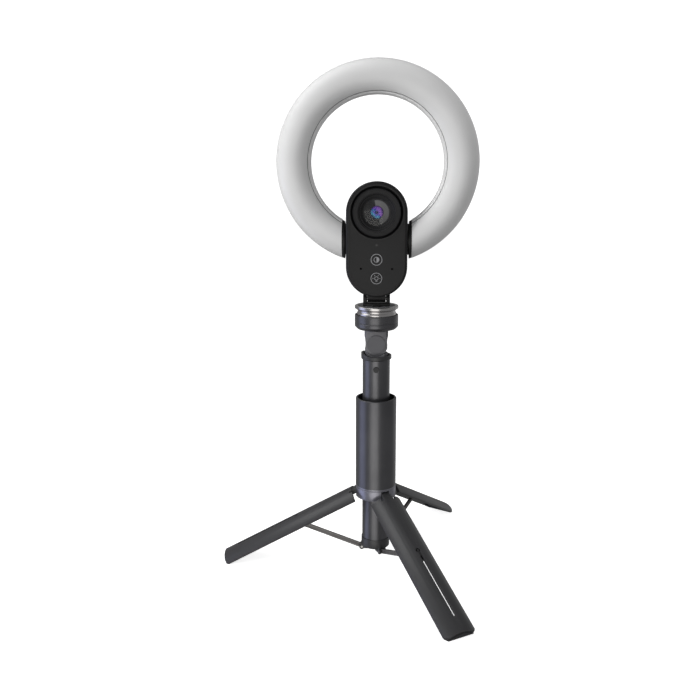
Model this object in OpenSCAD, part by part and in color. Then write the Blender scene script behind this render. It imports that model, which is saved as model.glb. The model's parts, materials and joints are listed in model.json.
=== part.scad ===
/* [Ring light] */
// Outside diameter of the light ring
ring_d = 152; // [136:1:190]
// Thickness of the round light tube
tube_d = 26.4; // [22:0.2:30]
// Height of the ring centre above the floor
ring_z = 317.8; // [310:0.1:325]
// Wall of the ring shells
ring_wall = 1.6; // [1.2:0.1:2.4]
// Number of light-emitting diodes on the board
led_n = 46; // [20:1:70]

/* [Camera] */
// Width of the camera body
cam_w = 45.8; // [42:0.2:56]
// Height of the camera body
cam_h = 86.2; // [76:0.2:100]
// Depth of the camera body, front to back
cam_t = 25; // [24:0.5:30]
// Wall of the camera covers
cam_wall = 1.8; // [1.4:0.1:3]
// Diameter of the lens barrel ring
barrel_d = 35.4; // [26:0.2:38]
// Diameter of the front lens glass
glass_d = 21.4; // [14:0.2:26]

/* [Mast and neck] */
// Outside diameter of the fixed lower tube
tube_od = 21.2; // [17.6:0.1:22]
// Wall of the fixed lower tube
tube_wall = 0.8; // [0.6:0.1:1]
// Wall of each telescopic section
sect_wall = 0.7; // [0.5:0.1:0.9]
// Height of the neck hinge above the floor
neck_z = 180.4; // [178:0.1:182]
// Diameter of the quick mount and its lock collar
mount_d = 33.5; // [28:0.5:40]

/* [Handle and legs] */
// Outside diameter of the handle and of the folded legs
grip_d = 31.8; // [31:0.2:39]
// Length of the handle sleeve
grip_len = 70.8; // [40:0.2:72]
// Length of a leg from hinge to foot
leg_len = 123; // [118:1:130]
// Angle of an open leg from straight down
leg_open = 61.5; // [58:0.5:64]
// Wall of a leg shell
leg_wall = 2.2; // [1.8:0.1:2.6]
// Half the angle that one leg shell covers
leg_half = 55.5; // [46:0.5:56]
// Length of a strut between its two pins
strut_len = 56; // [53:0.5:58]
// Distance from the leg hinge down to the strut hinge
hinge_drop = 49.1; // [47:0.1:51]

/* [Hidden] */
$fn = 96;
// clearances, all radial or per side
slide_gap = 0.05; // running fit of a pin or a telescopic guide
side_gap = 0.3; // sideways room beside a moving part
part_gap = 0.35; // room between bodies that pass each other

ring_r = ring_d / 2;
tor_r = tube_d / 2;
tor_c = ring_r - tor_r;
cam_r = cam_w / 2;
cam_y0 = -15.5;
cam_y1 = cam_y0 + cam_t;
cam_split = -5;
cam_z0 = 218;
cam_z1 = cam_z0 + cam_h;
lens_z = cam_z1 - cam_r;
low_z = cam_z0 + cam_r;
cut_x = cam_r + 3.2;
ring_pz = ring_z - sqrt(tor_c * tor_c - cut_x * cut_x);
collar_t = cut_x - cam_r - part_gap;
pivot_r = 3.4;
trim_r = ring_r - tube_d;
part_y = 3; // joint plane between the two ring shells
trim_w = 2.6; // width of the hoop between the shells

grip_r = grip_d / 2;
tube_r = tube_od / 2;
tube_ir = tube_r - tube_wall;
shell_ir = grip_r - leg_wall;
pin_r = 1;
eye_r = 2;
hinge_r = tube_r + part_gap + eye_r;
hinge_z = 62.5;
collar_z0 = hinge_z - 5.2;
collar_z1 = hinge_z + 4;
tab_w = 6.4;
tab_l = 16;
leg_b0 = hinge_z - collar_z0 + 0.5;
strut_t = 2;
strut_h = 3.4;
base_z = hinge_z - hinge_drop;
ring_z0 = base_z + 2.1;
ring_z1 = ring_z0 + 7;
base_or = tube_r + 0.55;
strut_pin_r = 0.9;
lug_t = 1.7;
lug_y = 2.15;
shoe_t = 0.65;
strut_r0 = shell_ir - part_gap - shoe_t - 0.15 - strut_h / 2;
shoe_x = shell_ir - part_gap - strut_r0;
pin_off = strut_r0 - hinge_r;
strut_rel = asin((hinge_drop * sin(leg_open) + pin_off * (1 - cos(leg_open))) / strut_len);
strut_open = leg_open + strut_rel;
pin_open = pin_off * sin(leg_open) + strut_len * cos(strut_rel) + hinge_drop * cos(leg_open);
pin_fold = hinge_drop + strut_len;
foot_over = 0.6; // rubber foot past the end of the shell
foot_r = hinge_r + (leg_len + foot_over) * sin(leg_open) + (shell_ir - hinge_r) * cos(leg_open);
pad_drop = 1.4; // rubber foot below the edges of the shell
slot_w = 1.8;
shoe_l = 9;

mast_x = (foot_r - ring_r) / 2;

cap_z0 = 169.2;
cap_z1 = 173;
cap_r = tube_r + 1.2;
cap_wall = 1.5;
seat_r = cap_r - cap_wall - 1.4; // plate under the neck, free of the cap's wall
cap_low = 1.9; // height of the cap's low side above the tube
cap_hi = 10.2; // where the slope of the wall starts, left of the mast
cap_lo = 5.9; // where the slope ends
s1_r = tube_ir - 1.9;
s_step = 1.3; // from one telescopic section to the next
s2_r = s1_r - s_step;
s3_r = s2_r - s_step;
s4_r = s3_r - s_step;
s_top = cap_z0 + 0.2;
plug_h = 5;
s_bot = ring_z1 + plug_h + 0.5;
guide_h = 8;
button_z = 161.4;
button_r = 2.2;
button_lip = 0.6; // wider flange that keeps the button in the tube
bush_z = 150;

tongue_t = 6;
cheek_t = 2.9;
cheek_y = tongue_t / 2 + side_gap;
cheek_r = 9.1;
shoulder_y = cheek_y + cheek_t;
neck_top = 191.9;
mount_r = mount_d / 2;
lock_z0 = neck_top;
lock_z1 = 203.1;
disc_z0 = 207.7;
disc_z1 = 210;
stud_r = 5;
tilt_z = 215.4;
arm_t = 3;
arm_x = 8.8;
eye_w = arm_x - arm_t / 2 - side_gap; // half the width of the camera's tilt eye
quarter_r = 3.175; // quarter-inch camera screw
bolt_r = 1.5;

bezel_r = cam_r - 2.7;
dish = 2.6; // depth of the dished bezel
barrel_r = barrel_d / 2;
elem_r = glass_d / 2 - 2;
board_y = cam_y0 + 15.1;
board_t = 1.6;
board_in = cam_wall + 2.2;
face_in = 2.6; // raised rim around the camera's face
led_z = lens_z - bezel_r - 3.8;
icon_r = 4.3;
icon_y = cam_y0 + 0.05;
icon_z = [cam_z0 + 28.5, cam_z0 + 14.5];
mic_x = 11.6;
mic_z = cam_z0 + 21.6;
hole_r = 0.8; // light window and microphone holes
screw_x = 14;
screw_z = [low_z - 4, lens_z + 2];
usb_z = cam_z0 + 14;

module at_mast() { translate([mast_x, 0, 0]) children(); }
module pipe(ro, ri, z0, z1) {
  translate([0, 0, z0]) difference() {
    cylinder(r = ro, h = z1 - z0);
    translate([0, 0, -1]) cylinder(r = ri, h = z1 - z0 + 2);
  }
}
module rod(r, z0, z1) { translate([0, 0, z0]) cylinder(r = r, h = z1 - z0); }
// a bar along Y through the point x, z
module ybar(r, y0, y1) { translate([0, y1, 0]) rotate([90, 0, 0]) cylinder(r = r, h = y1 - y0); }
module xbar(r, x0, x1) { translate([x0, 0, 0]) rotate([0, 90, 0]) cylinder(r = r, h = x1 - x0); }
module blk(x0, x1, y0, y1, z0, z1) { translate([x0, y0, z0]) cube([x1 - x0, y1 - y0, z1 - z0]); }

// ---- one leg, drawn hanging straight down, outward is +X
module spread() { for (a = [180, -60, 60]) rotate([0, 0, a]) children(); }
module opened(a) {
  translate([hinge_r, 0, hinge_z]) rotate([0, -a, 0]) translate([-hinge_r, 0, -hinge_z]) children();
}
module at_leg(a) { at_mast() rotate([0, 0, a]) children(); }

module wedge_keep(r, z0, z1) {
  // the slice of a round between -leg_half and +leg_half
  difference() {
    children();
    rotate([0, 0, leg_half]) blk(-2 * r, 2 * r, 0, 2 * r, z0, z1);
    rotate([0, 0, -leg_half]) blk(-2 * r, 2 * r, -2 * r, 0, z0, z1);
    blk(-2 * r, 0, -2 * r, 2 * r, z0, z1);
  }
}
module leg() {
  difference() {
    opened(leg_open) difference() {
      union() {
        wedge_keep(grip_r, hinge_z - leg_len - 5, hinge_z + 5)
          pipe(grip_r, shell_ir, hinge_z - leg_len, hinge_z - leg_b0);
        // hinge tab
        translate([hinge_r, 0, hinge_z]) ybar(eye_r, -tab_w / 2, tab_w / 2);
        blk(hinge_r - eye_r, hinge_r + eye_r, -tab_w / 2, tab_w / 2, hinge_z - tab_l, hinge_z);
        intersection() {
          blk(hinge_r, grip_r, -tab_w / 2, tab_w / 2, hinge_z - tab_l, hinge_z - leg_b0);
          rod(grip_r, hinge_z - tab_l, hinge_z - leg_b0);
        }
        // two stiffening ribs beside the slot
        for (s = [-1, 1]) intersection() {
          translate([0, s * 6, 0])
            blk(shell_ir - 3, grip_r - 0.6, -0.6, 0.6, hinge_z - leg_len + 16, hinge_z - tab_l);
          rod(shell_ir + 0.4, hinge_z - leg_len, hinge_z);
        }
      }
      translate([hinge_r, 0, hinge_z]) ybar(pin_r + slide_gap, -10, 10);
      // slot for the shoe with the round entry at its upper end
      blk(shell_ir - 1, grip_r + 1, -slot_w / 2, slot_w / 2, hinge_z - pin_fold - 6, hinge_z - pin_open + 2);
      translate([shell_ir - 1, 0, hinge_z - pin_open + 2]) xbar(1.8, 0, leg_wall + 2);
      // rounded shoulders at the foot
      for (s = [-1, 1]) translate([0, s * grip_r * sin(leg_half), hinge_z - leg_len])
        rotate([45, 0, 0]) blk(-1, grip_r + 1, -1.9, 1.9, -1.9, 1.9);
      // notches either side of the tab
      for (s = [-1, 1]) translate([0, s * 5.2, 0])
        blk(shell_ir - 4, grip_r + 1, -1.2, 1.2, hinge_z - leg_b0 - 2.4, hinge_z);
    }
    blk(0, 200, -40, 40, -20, 0.6);
  }
}
module foot() {
  difference() {
    opened(leg_open) difference() {
      wedge_keep(grip_r, hinge_z - leg_len - 9, hinge_z)
        rod(shell_ir, hinge_z - leg_len - foot_over, hinge_z - leg_len + 11);
      blk(-30, grip_r * cos(leg_half) - pad_drop, -40, 40, hinge_z - leg_len - 9, hinge_z);
      for (s = [-1, 1]) translate([0, s * grip_r * sin(leg_half), hinge_z - leg_len - foot_over])
        rotate([45, 0, 0]) blk(-1, grip_r + 1, -2.1, 2.1, -2.1, 2.1);
    }
    blk(0, 200, -40, 40, -20, 0);
  }
}
module strut() {
  // turned about the strut hinge so the far pin sits in the leg slot
  translate([strut_r0, 0, base_z]) rotate([0, -strut_open, 0]) difference() {
    union() {
      ybar(strut_h / 2, -strut_t / 2, strut_t / 2);
      translate([0, 0, -strut_len]) ybar(strut_h / 2, -strut_t / 2, strut_t / 2);
      blk(-strut_h / 2, strut_h / 2, -strut_t / 2, strut_t / 2, -strut_len, 0);
      translate([0, 0, -strut_len]) ybar(strut_pin_r, -3, 3);
    }
    ybar(strut_pin_r + slide_gap, -4, 4);
  }
}
module shoe() {
  key_w = slot_w / 2 - 2 * slide_gap;
  opened(leg_open) translate([strut_r0, 0, hinge_z - pin_open]) difference() {
    union() {
      for (s = [-1, 1]) translate([0, s * lug_y, 0])
        blk(-strut_h / 2, shoe_x, -lug_t / 2, lug_t / 2, -shoe_l / 2, shoe_l / 2);
      blk(shoe_x - shoe_t, shoe_x, -2.8, 2.8, -shoe_l / 2, shoe_l / 2);
      // key in the leg's slot
      blk(shoe_x - 0.3, grip_r - 0.1 - strut_r0, -key_w, key_w, -3, 3);
    }
    ybar(strut_pin_r + slide_gap, -4, 4);
  }
}

module main_tube() {
  color("#3f4047") at_mast() difference() {
    pipe(tube_r, tube_ir, ring_z1, cap_z0);
    translate([0, 0, button_z]) ybar(button_r + 0.1, -tube_r - 2, 0);
  }
}
module handle_sleeve() {
  color("#3a3b42") at_mast() rotate_extrude() {
    translate([grip_r - 1.4, collar_z1]) square([1.4, grip_len - 0.7]);
    translate([grip_r - 0.7, collar_z1 + grip_len - 0.7]) circle(r = 0.7);
    translate([grip_r - 1.4, collar_z1 + grip_len - 0.9]) square([0.7, 0.9]);
  }
}
module sleeve_bush() {
  color("#2a2a2d") at_mast() pipe(grip_r - 1.4, tube_r, collar_z1, collar_z1 + 26);
}
module leg_collar() {
  color("#8c8c96") at_mast() difference() {
    pipe(grip_r, tube_r, collar_z0, collar_z1);
    spread() {
      blk(tube_r + 0.2, grip_r + 2, -tab_w / 2 - side_gap, tab_w / 2 + side_gap,
        collar_z0 - 1, hinge_z + eye_r + part_gap);
      translate([hinge_r, 0, hinge_z]) ybar(pin_r, -6.4, 6.4);
    }
    rotate_extrude() translate([grip_r, collar_z1 - 1.3]) circle(r = 0.35, $fn = 24);
  }
}
module leg_hinge_pins() {
  color("#b8b8bc") at_mast() spread() translate([hinge_r, 0, hinge_z]) ybar(pin_r, -6.4, 6.4);
}
module base_plug() {
  color("#2b2b2e") at_mast() difference() {
    union() {
      rod(base_or, ring_z0, ring_z1);
      rod(tube_ir, ring_z1, ring_z1 + 1.2);
      pipe(tube_ir, tube_ir - 1.2, ring_z1, ring_z1 + plug_h);
      rod(2.2, ring_z0 - 1.2, ring_z0 + 1);
      spread() for (s = [-1, 1]) {
        translate([strut_r0, s * 2.2, base_z]) ybar(2, -lug_t / 2, lug_t / 2);
        translate([0, s * 2.2, 0]) {
          blk(strut_r0 - 6, strut_r0 + 0.6, -lug_t / 2, lug_t / 2, base_z + 0.1, ring_z0 + 1);
          blk(strut_r0 - 6, strut_r0, -lug_t / 2, lug_t / 2, base_z - 1.2, ring_z0 + 1);
        }
      }
    }
    spread() translate([strut_r0, 0, base_z]) ybar(strut_pin_r, -4, 4);
  }
}
module base_pins() {
  color("#b8b8bc") at_mast() spread() translate([strut_r0, 0, base_z]) ybar(strut_pin_r, -3, 3);
}
module top_cap() {
  color("#2e2f33") at_mast() difference() {
    union() {
      pipe(cap_r, tube_r, cap_z0 - 0.6, cap_z0);
      pipe(cap_r, cap_r - cap_wall, cap_z0, cap_z1);
      translate([0, 0, cap_z0 - 1.3]) difference() {
        cylinder(r1 = tube_r + 0.5, r2 = cap_r, h = 0.7);
        translate([0, 0, -1]) cylinder(r = tube_r, h = 4);
      }
      pipe(cap_r - 1, s1_r + 1.6, cap_z0, cap_z0 + 0.9);
    }
    // the wall stands high only at the left, so the neck can fold over to the right
    translate([0, cap_r + 1, 0]) rotate([90, 0, 0]) linear_extrude(2 * cap_r + 2)
      polygon([[-cap_hi, cap_z1], [-cap_lo, cap_z0 + cap_low], [cap_r + 1, cap_z0 + cap_low],
        [cap_r + 1, cap_z1 + 1], [-cap_hi, cap_z1 + 1]]);
  }
}
module guide_bush() {
  color("#1f1f21") at_mast() difference() {
    pipe(tube_ir, s1_r + slide_gap, bush_z, cap_z0);
    blk(-3.3, 3.3, -tube_r, 0, button_z - 3.4, button_z + 3.4);
  }
}
module lock_button() {
  color("#4a4a50") at_mast() translate([0, 0, button_z]) union() {
    ybar(button_r, -tube_r - 0.9, -tube_ir + button_lip);
    ybar(button_r + button_lip, -tube_ir + 0.45, -tube_ir + 1.05);
  }
}
module button_spring() {
  color("#9a9aa0") at_mast() translate([0, 0, button_z]) difference() {
    blk(-1.6, 1.6, -s1_r - 0.3, -s1_r - 0.1, -3.4, 3.1);
    blk(-0.5, 0.5, -s1_r - 1, -s1_r, -1.6, 1.6);
  }
}

module leg_left() { color("#47474d") at_leg(180) leg(); }
module leg_front() { color("#47474d") at_leg(-60) leg(); }
module leg_back() { color("#47474d") at_leg(60) leg(); }
module foot_left() { color("#232324") at_leg(180) foot(); }
module foot_front() { color("#232324") at_leg(-60) foot(); }
module foot_back() { color("#232324") at_leg(60) foot(); }
module strut_left() { color("#858283") at_leg(180) strut(); }
module strut_front() { color("#858283") at_leg(-60) strut(); }
module strut_back() { color("#858283") at_leg(60) strut(); }
module shoe_left() { color("#1c1c1e") at_leg(180) shoe(); }
module shoe_front() { color("#1c1c1e") at_leg(-60) shoe(); }
module shoe_back() { color("#1c1c1e") at_leg(60) shoe(); }

// telescopic sections: a bottom guide ring runs in the parent, the top lip guides the child
module section(ro, parent_ir, child_r, lift) {
  union() {
    pipe(ro, ro - sect_wall, s_bot + lift, s_top);
    pipe(parent_ir - slide_gap, ro - sect_wall, s_bot + lift, s_bot + lift + guide_h);
    pipe(ro, child_r + slide_gap, s_top - guide_h, s_top);
  }
}
module mast_section_1() { color("#55565c") at_mast() section(s1_r, tube_ir, s2_r, 0); }
module mast_section_2() { color("#5c5d63") at_mast() section(s2_r, s1_r - sect_wall, s3_r, 1); }
module mast_section_3() { color("#63646a") at_mast() section(s3_r, s2_r - sect_wall, s4_r, 2); }
module mast_section_4() {
  color("#6a6b70") at_mast() union() {
    pipe(s4_r, s4_r - sect_wall, s_bot + 3, s_top);
    pipe(s3_r - sect_wall - slide_gap, s4_r - sect_wall, s_bot + 3, s_bot + 3 + guide_h);
  }
}
module neck_base() {
  color("#303136") at_mast() difference() {
    union() {
      rod(s4_r - sect_wall, s_top - 10, s_top);
      rod(seat_r, s_top, s_top + 1.3);
      blk(-6, 6, -tongue_t / 2, tongue_t / 2, s_top + 1, neck_z);
      translate([0, 0, neck_z]) ybar(6.2, -tongue_t / 2, tongue_t / 2);
      // shoulders that fill in below the round cheeks, lower on the side that the neck folds to
      difference() {
        intersection() {
          union() {
            blk(-cheek_r, 0, -shoulder_y, shoulder_y, s_top + 1, neck_z - 4);
            blk(-1, cheek_r, -shoulder_y, shoulder_y, s_top + 1, neck_z - 7.7);
          }
          rod(seat_r, s_top, neck_z);
        }
        translate([0, 0, neck_z]) ybar(cheek_r + part_gap, -cap_r, cap_r);
      }
    }
    translate([0, 0, neck_z]) ybar(bolt_r + slide_gap, -10, 10);
  }
}
module neck_bolt() {
  color("#a8a8ac") at_mast() translate([0, 0, neck_z]) ybar(bolt_r, -cheek_y - cheek_t, cheek_y + cheek_t);
}
module neck_head() {
  color("#3c3d44") at_mast() difference() {
    union() {
      for (s = [0, 1]) mirror([0, s, 0]) {
        translate([0, 0, neck_z]) ybar(cheek_r, cheek_y, cheek_y + cheek_t);
        // plate, bevelled toward both side edges
        translate([0, 0, neck_z]) linear_extrude(neck_top - neck_z)
          polygon([[-cheek_r, cheek_y], [cheek_r, cheek_y], [cheek_r, cheek_y + 1.3],
            [cheek_r - 1.5, cheek_y + cheek_t], [1.5 - cheek_r, cheek_y + cheek_t], [-cheek_r, cheek_y + 1.3]]);
      }
      blk(-8.7, 8.7, -cheek_y - 1, cheek_y + 1, neck_z + 8, neck_top);
      rod(9.6, neck_top - 1.6, neck_top);
      rod(stud_r, neck_top - 1, lock_z1 - 0.4);
    }
    translate([0, 0, neck_z]) ybar(bolt_r, -10, 10);
    // waist scallops
    for (s = [-1, 1]) translate([s * 30.2, 0, neck_z + 0.5]) ybar(21.9, -10, 10);
  }
}
module pivot_caps() {
  color("#26262a") at_mast() for (s = [0, 1]) mirror([0, s, 0]) translate([0, 0, neck_z]) union() {
    ybar(7.2, cheek_y + cheek_t, cheek_y + cheek_t + 0.5);
    ybar(6.8, cheek_y + cheek_t + 0.4, cheek_y + cheek_t + 0.8);
  }
}
module lock_collar() {
  color("#2c2c30") at_mast() rotate_extrude()
    polygon([[stud_r + slide_gap, lock_z0], [mount_r - 2.1, lock_z0], [mount_r, lock_z0 + 2.2],
      [mount_r, lock_z0 + 4.9], [mount_r - 0.4, lock_z0 + 5.2], [mount_r, lock_z0 + 5.5],
      [mount_r, lock_z1 - 0.4], [mount_r - 0.4, lock_z1], [mount_r - 1, lock_z1], [mount_r - 1, lock_z1 - 3.4],
      [stud_r + slide_gap, lock_z1 - 3.4]]);
}
module quick_mount() {
  color("#b9b9bd") at_mast() difference() {
    rotate_extrude() polygon([[stud_r + slide_gap, lock_z1 - 3.1], [mount_r - 1.6, lock_z1 - 3.1],
      [mount_r - 1.6, disc_z0 - 3.4], [mount_r - 2.3, disc_z0 - 2.4], [mount_r - 2.3, disc_z0 - 1.2],
      [mount_r - 0.4, disc_z0], [mount_r, disc_z0 + 0.3], [mount_r, disc_z1 - 0.3], [mount_r - 0.3, disc_z1],
      [mount_r - 2.3, disc_z1], [mount_r - 2.3, disc_z1 - 0.9], [0, disc_z1 - 0.9], [0, lock_z1],
      [stud_r + slide_gap, lock_z1]]);
    rod(quarter_r, lock_z1 - 1, disc_z1 + 1);
    rod(stud_r, lock_z1 - 1, lock_z1 + 1.6);
  }
}
module mount_pad() {
  color("#77777b") at_mast() pipe(mount_r - 2.35, quarter_r + 0.1, disc_z1 - 0.9, disc_z1 - 0.1);
}
module quarter_screw() {
  color("#c9c9cc") at_mast() difference() {
    union() {
      rod(stud_r - 0.1, lock_z1 + 0.1, lock_z1 + 1.6);
      rod(quarter_r, lock_z1 + 1.5, disc_z1 + 1.8);
    }
    translate([0, 0, lock_z1 - 1]) cylinder(r = 2.3, h = 2.2, $fn = 6);
  }
}
module tilt_bracket() {
  color("#1b1b1d") at_mast() difference() {
    union() {
      blk(-10.3, 10.3, -6, 6, disc_z1 - 0.1, disc_z1 + 1.9);
      blk(-3, 3, -9.5, -5, disc_z1 - 0.1, disc_z1 + 1.1);
      for (s = [-1, 1]) {
        translate([0, 0, tilt_z]) xbar(3.2, s * arm_x - arm_t / 2, s * arm_x + arm_t / 2);
        blk(s * arm_x - arm_t / 2, s * arm_x + arm_t / 2, -3.2, 3.2, disc_z1 + 1, tilt_z);
      }
    }
    rod(quarter_r, disc_z1 - 1, disc_z1 + 1.8);
    translate([0, 0, tilt_z]) xbar(bolt_r, -20, 20);
  }
}
module tilt_pin() {
  color("#8f8f94") at_mast() translate([0, 0, tilt_z]) xbar(bolt_r, -10.3, 10.3);
}

// ---- camera body: a flat round-ended box, rounded edge at the front
module pill_sec(r, y0, y1, rf, rb) {
  union() {
    translate([0, y0]) square([r - rf, y1 - y0]);
    translate([0, y0 + rf]) square([r, y1 - y0 - rf - rb]);
    translate([0, y0 + rf]) square([r - rb, y1 - y0 - rf]);
    translate([r - rf, y0 + rf]) circle(r = rf);
    translate([r - rb, y1 - rb]) circle(r = rb);
  }
}
module pill(r, y0, y1, z0, z1, rf, rb) {
  // thickness runs along Y; the section's second axis becomes +Y
  union() {
    for (z = [z0 + r, z1 - r]) translate([0, 0, z])
      rotate([-90, 0, 0]) rotate_extrude() pill_sec(r, y0, y1, rf, rb);
    translate([0, 0, z0 + r]) linear_extrude(z1 - z0 - 2 * r) {
      pill_sec(r, y0, y1, rf, rb);
      mirror([1, 0]) pill_sec(r, y0, y1, rf, rb);
    }
  }
}
module flat_pill(r, y0, y1, z0, z1) {
  union() {
    for (z = [z0 + r, z1 - r]) translate([0, 0, z]) ybar(r, y0, y1);
    blk(-r, r, y0, y1, z0 + r, z1 - r);
  }
}
module front_cover() {
  color("#222223") at_mast() difference() {
    pill(cam_r, cam_y0, cam_split + 4, cam_z0, cam_z1, 2.2, 0.3);
    blk(-40, 40, cam_split, 40, cam_z0 - 1, cam_z1 + 1);
    flat_pill(cam_r - cam_wall, cam_y0 + cam_wall, 40, cam_z0 + cam_wall, cam_z1 - cam_wall);
    translate([0, 0, lens_z]) ybar(bezel_r, cam_y0 - 1, cam_y0 + dish);
    translate([0, 0, lens_z]) ybar(barrel_r + 0.1, cam_y0 - 1, cam_y0 + 5);
    // shallow face recess inside a raised rim
    difference() {
      flat_pill(cam_r - face_in, cam_y0 - 1, cam_y0 + 0.25, cam_z0 + face_in, cam_z1 - face_in);
      translate([0, 0, lens_z]) ybar(bezel_r + 0.6, cam_y0 - 2, cam_y0 + 1);
    }
    translate([0, 0, led_z]) ybar(hole_r, cam_y0 - 1, cam_y0 + 5);
    for (s = [-1, 1]) translate([s * mic_x, 0, mic_z]) ybar(hole_r, cam_y0 - 1, cam_y0 + 5);
  }
}
module rear_cover() {
  color("#1e1e1f") at_mast() difference() {
    union() {
      difference() {
        pill(cam_r, cam_split - 3, cam_y1, cam_z0, cam_z1, 0.3, 3);
        blk(-40, 40, -40, cam_split, cam_z0 - 1, cam_z1 + 1);
        flat_pill(cam_r - cam_wall, -40, cam_y1 - cam_wall, cam_z0 + cam_wall, cam_z1 - cam_wall);
      }
      // lip inside the front cover
      difference() {
        flat_pill(cam_r - cam_wall, cam_split - 1.6, cam_split + 0.2, cam_z0 + cam_wall, cam_z1 - cam_wall);
        flat_pill(cam_r - cam_wall - 1, -40, 40, cam_z0 + cam_wall + 1, cam_z1 - cam_wall - 1);
      }
      // posts that carry the board
      for (x = [-1, 1], z = screw_z) translate([x * screw_x, 0, z]) ybar(2.4, board_y + board_t, cam_y1 - 1);
      // foot with the tilt eye
      translate([0, 0, tilt_z]) xbar(3, -eye_w, eye_w);
      blk(-eye_w, eye_w, -3, 3, tilt_z, cam_z0 + cam_wall + 0.4);
      // socket housing
      blk(-6, 6, board_y + board_t, cam_y1 - 1, usb_z - 3, usb_z + 3);
    }
    translate([0, 0, tilt_z]) xbar(bolt_r + slide_gap, -20, 20);
    translate([0, 0, usb_z]) flat_slot(9.4, 3.7, cam_y1 - 7.6, cam_y1 + 1);
    for (x = [-1, 1], z = screw_z) translate([x * screw_x, 0, z]) {
      ybar(1, 1, cam_y1 + 1);
      ybar(2, cam_y1 - 1.2, cam_y1 + 1);
    }
    // vent slots
    for (k = [-3:3]) translate([0, 0, lens_z - 12 + k * 2.6])
      blk(-8 + abs(k), 8 - abs(k), cam_y1 - cam_wall - 1, cam_y1 + 1, 0, 1.1);
    for (s = [-1, 1]) translate([0, 0, ring_pz]) xbar(pivot_r + slide_gap, s * cam_r - 4, s * cam_r + 4);
  }
}
module flat_slot(w, h, y0, y1) {
  union() {
    for (s = [-1, 1]) translate([s * (w - h) / 2, 0, 0]) ybar(h / 2, y0, y1);
    blk(-(w - h) / 2, (w - h) / 2, y0, y1, -h / 2, h / 2);
  }
}
module lens_bezel() {
  // a dished ring that slopes down from the face to the barrel
  color("#111112") at_mast() translate([0, 0, lens_z]) rotate([-90, 0, 0]) rotate_extrude()
    polygon([[bezel_r, cam_y0 + 0.1], [bezel_r, cam_y0 + dish], [barrel_r + 0.1, cam_y0 + dish],
      [barrel_r + 0.1, cam_y0 + dish - 0.4], [bezel_r - 0.6, cam_y0 + 0.1]]);
}
module lens_barrel() {
  color("#18181a") at_mast() translate([0, 0, lens_z]) difference() {
    rotate([-90, 0, 0]) rotate_extrude()
      polygon([[glass_d / 2, cam_y0 + 0.4], [barrel_r - 3, cam_y0 - 1.2], [barrel_r - 1.4, cam_y0 - 2.2],
        [barrel_r - 0.4, cam_y0 - 2.2], [barrel_r, cam_y0 - 1.8], [barrel_r, cam_y0 + 9], [4, cam_y0 + 9],
        [4, cam_y0 + 7.4], [elem_r, cam_y0 + 7.4], [elem_r, cam_y0 + 2], [glass_d / 2, cam_y0 + 2]]);
    // fine grooves in the front cone
    for (k = [0:2]) rotate([-90, 0, 0]) rotate_extrude()
      translate([glass_d / 2 + 1.4 + k * 1.3, cam_y0 - 0.2 - k * 0.5]) circle(r = 0.3, $fn = 24);
  }
}
module lens_glass() {
  color("#1a1c33") at_mast() translate([0, 0, lens_z]) rotate([-90, 0, 0]) rotate_extrude() intersection() {
    translate([0, cam_y0 + 0.1]) square([glass_d / 2 - 0.02, 1.9]);
    translate([0, cam_y0 + 40.1]) circle(r = 40, $fn = 240);
  }
}
module lens_elements() {
  color("#2a2f66") at_mast() translate([0, 0, lens_z]) {
    ybar(elem_r, cam_y0 + 3.4, cam_y0 + 4.4);
    ybar(elem_r, cam_y0 + 5.4, cam_y0 + 7.4);
  }
}
module image_sensor() {
  color("#3b3f52") at_mast() translate([0, 0, lens_z]) blk(-4.5, 4.5, cam_y0 + 9, board_y, -4.5, 4.5);
}
module main_board() {
  color("#1d4a2b") at_mast() difference() {
    flat_pill(cam_r - board_in, board_y, board_y + board_t, cam_z0 + board_in, cam_z1 - board_in);
    for (x = [-1, 1], z = screw_z) translate([x * screw_x, 0, z]) ybar(1, -10, 10);
  }
}
module ring2(r, w, y0, y1) { difference() { ybar(r, y0, y1); ybar(r - w, y0 - 1, y1 + 1); } }
module touch_icons() {
  // flush inlays: a brightness disc and a lamp, each in a thin circle
  color("#8d8d90") at_mast() union() {
    for (z = icon_z) translate([0, 0, z]) ring2(icon_r, 0.45, icon_y, icon_y + 0.2);
    translate([0, 0, icon_z[0]]) {
      ring2(2.1, 0.4, icon_y, icon_y + 0.2);
      intersection() {
        ybar(1.75, icon_y, icon_y + 0.2);
        blk(0, 3, icon_y - 1, icon_y + 1, -3, 3);
      }
    }
    translate([0, 0, icon_z[1]]) {
      ring2(1.5, 0.4, icon_y, icon_y + 0.2);
      blk(-0.7, 0.7, icon_y, icon_y + 0.2, -2.3, -1.9);
      for (a = [0:60:180]) rotate([0, a - 90, 0]) blk(-0.2, 0.2, icon_y, icon_y + 0.2, 2.1, 3);
    }
  }
}
module status_led() {
  color("#3d4048") at_mast() translate([0, 0, led_z]) ybar(hole_r, cam_y0 + 0.3, cam_y0 + 3);
}
module microphones() {
  color("#0d0d0e") at_mast() for (s = [-1, 1]) translate([s * mic_x, 0, mic_z]) {
    ybar(2, cam_y0 + cam_wall, cam_y0 + 3.4);
    ybar(hole_r, cam_y0 + 1.1, cam_y0 + cam_wall + 0.2);
  }
}
module usb_socket() {
  color("#a9abb0") at_mast() translate([0, 0, usb_z]) union() {
    difference() {
      flat_slot(9.4, 3.7, cam_y1 - 7.6, cam_y1 - 0.3);
      flat_slot(8.34, 2.56, cam_y1 - 6.9, cam_y1 + 1);
    }
    blk(-3.35, 3.35, cam_y1 - 7, cam_y1 - 1.6, -0.35, 0.35);
  }
}
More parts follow.
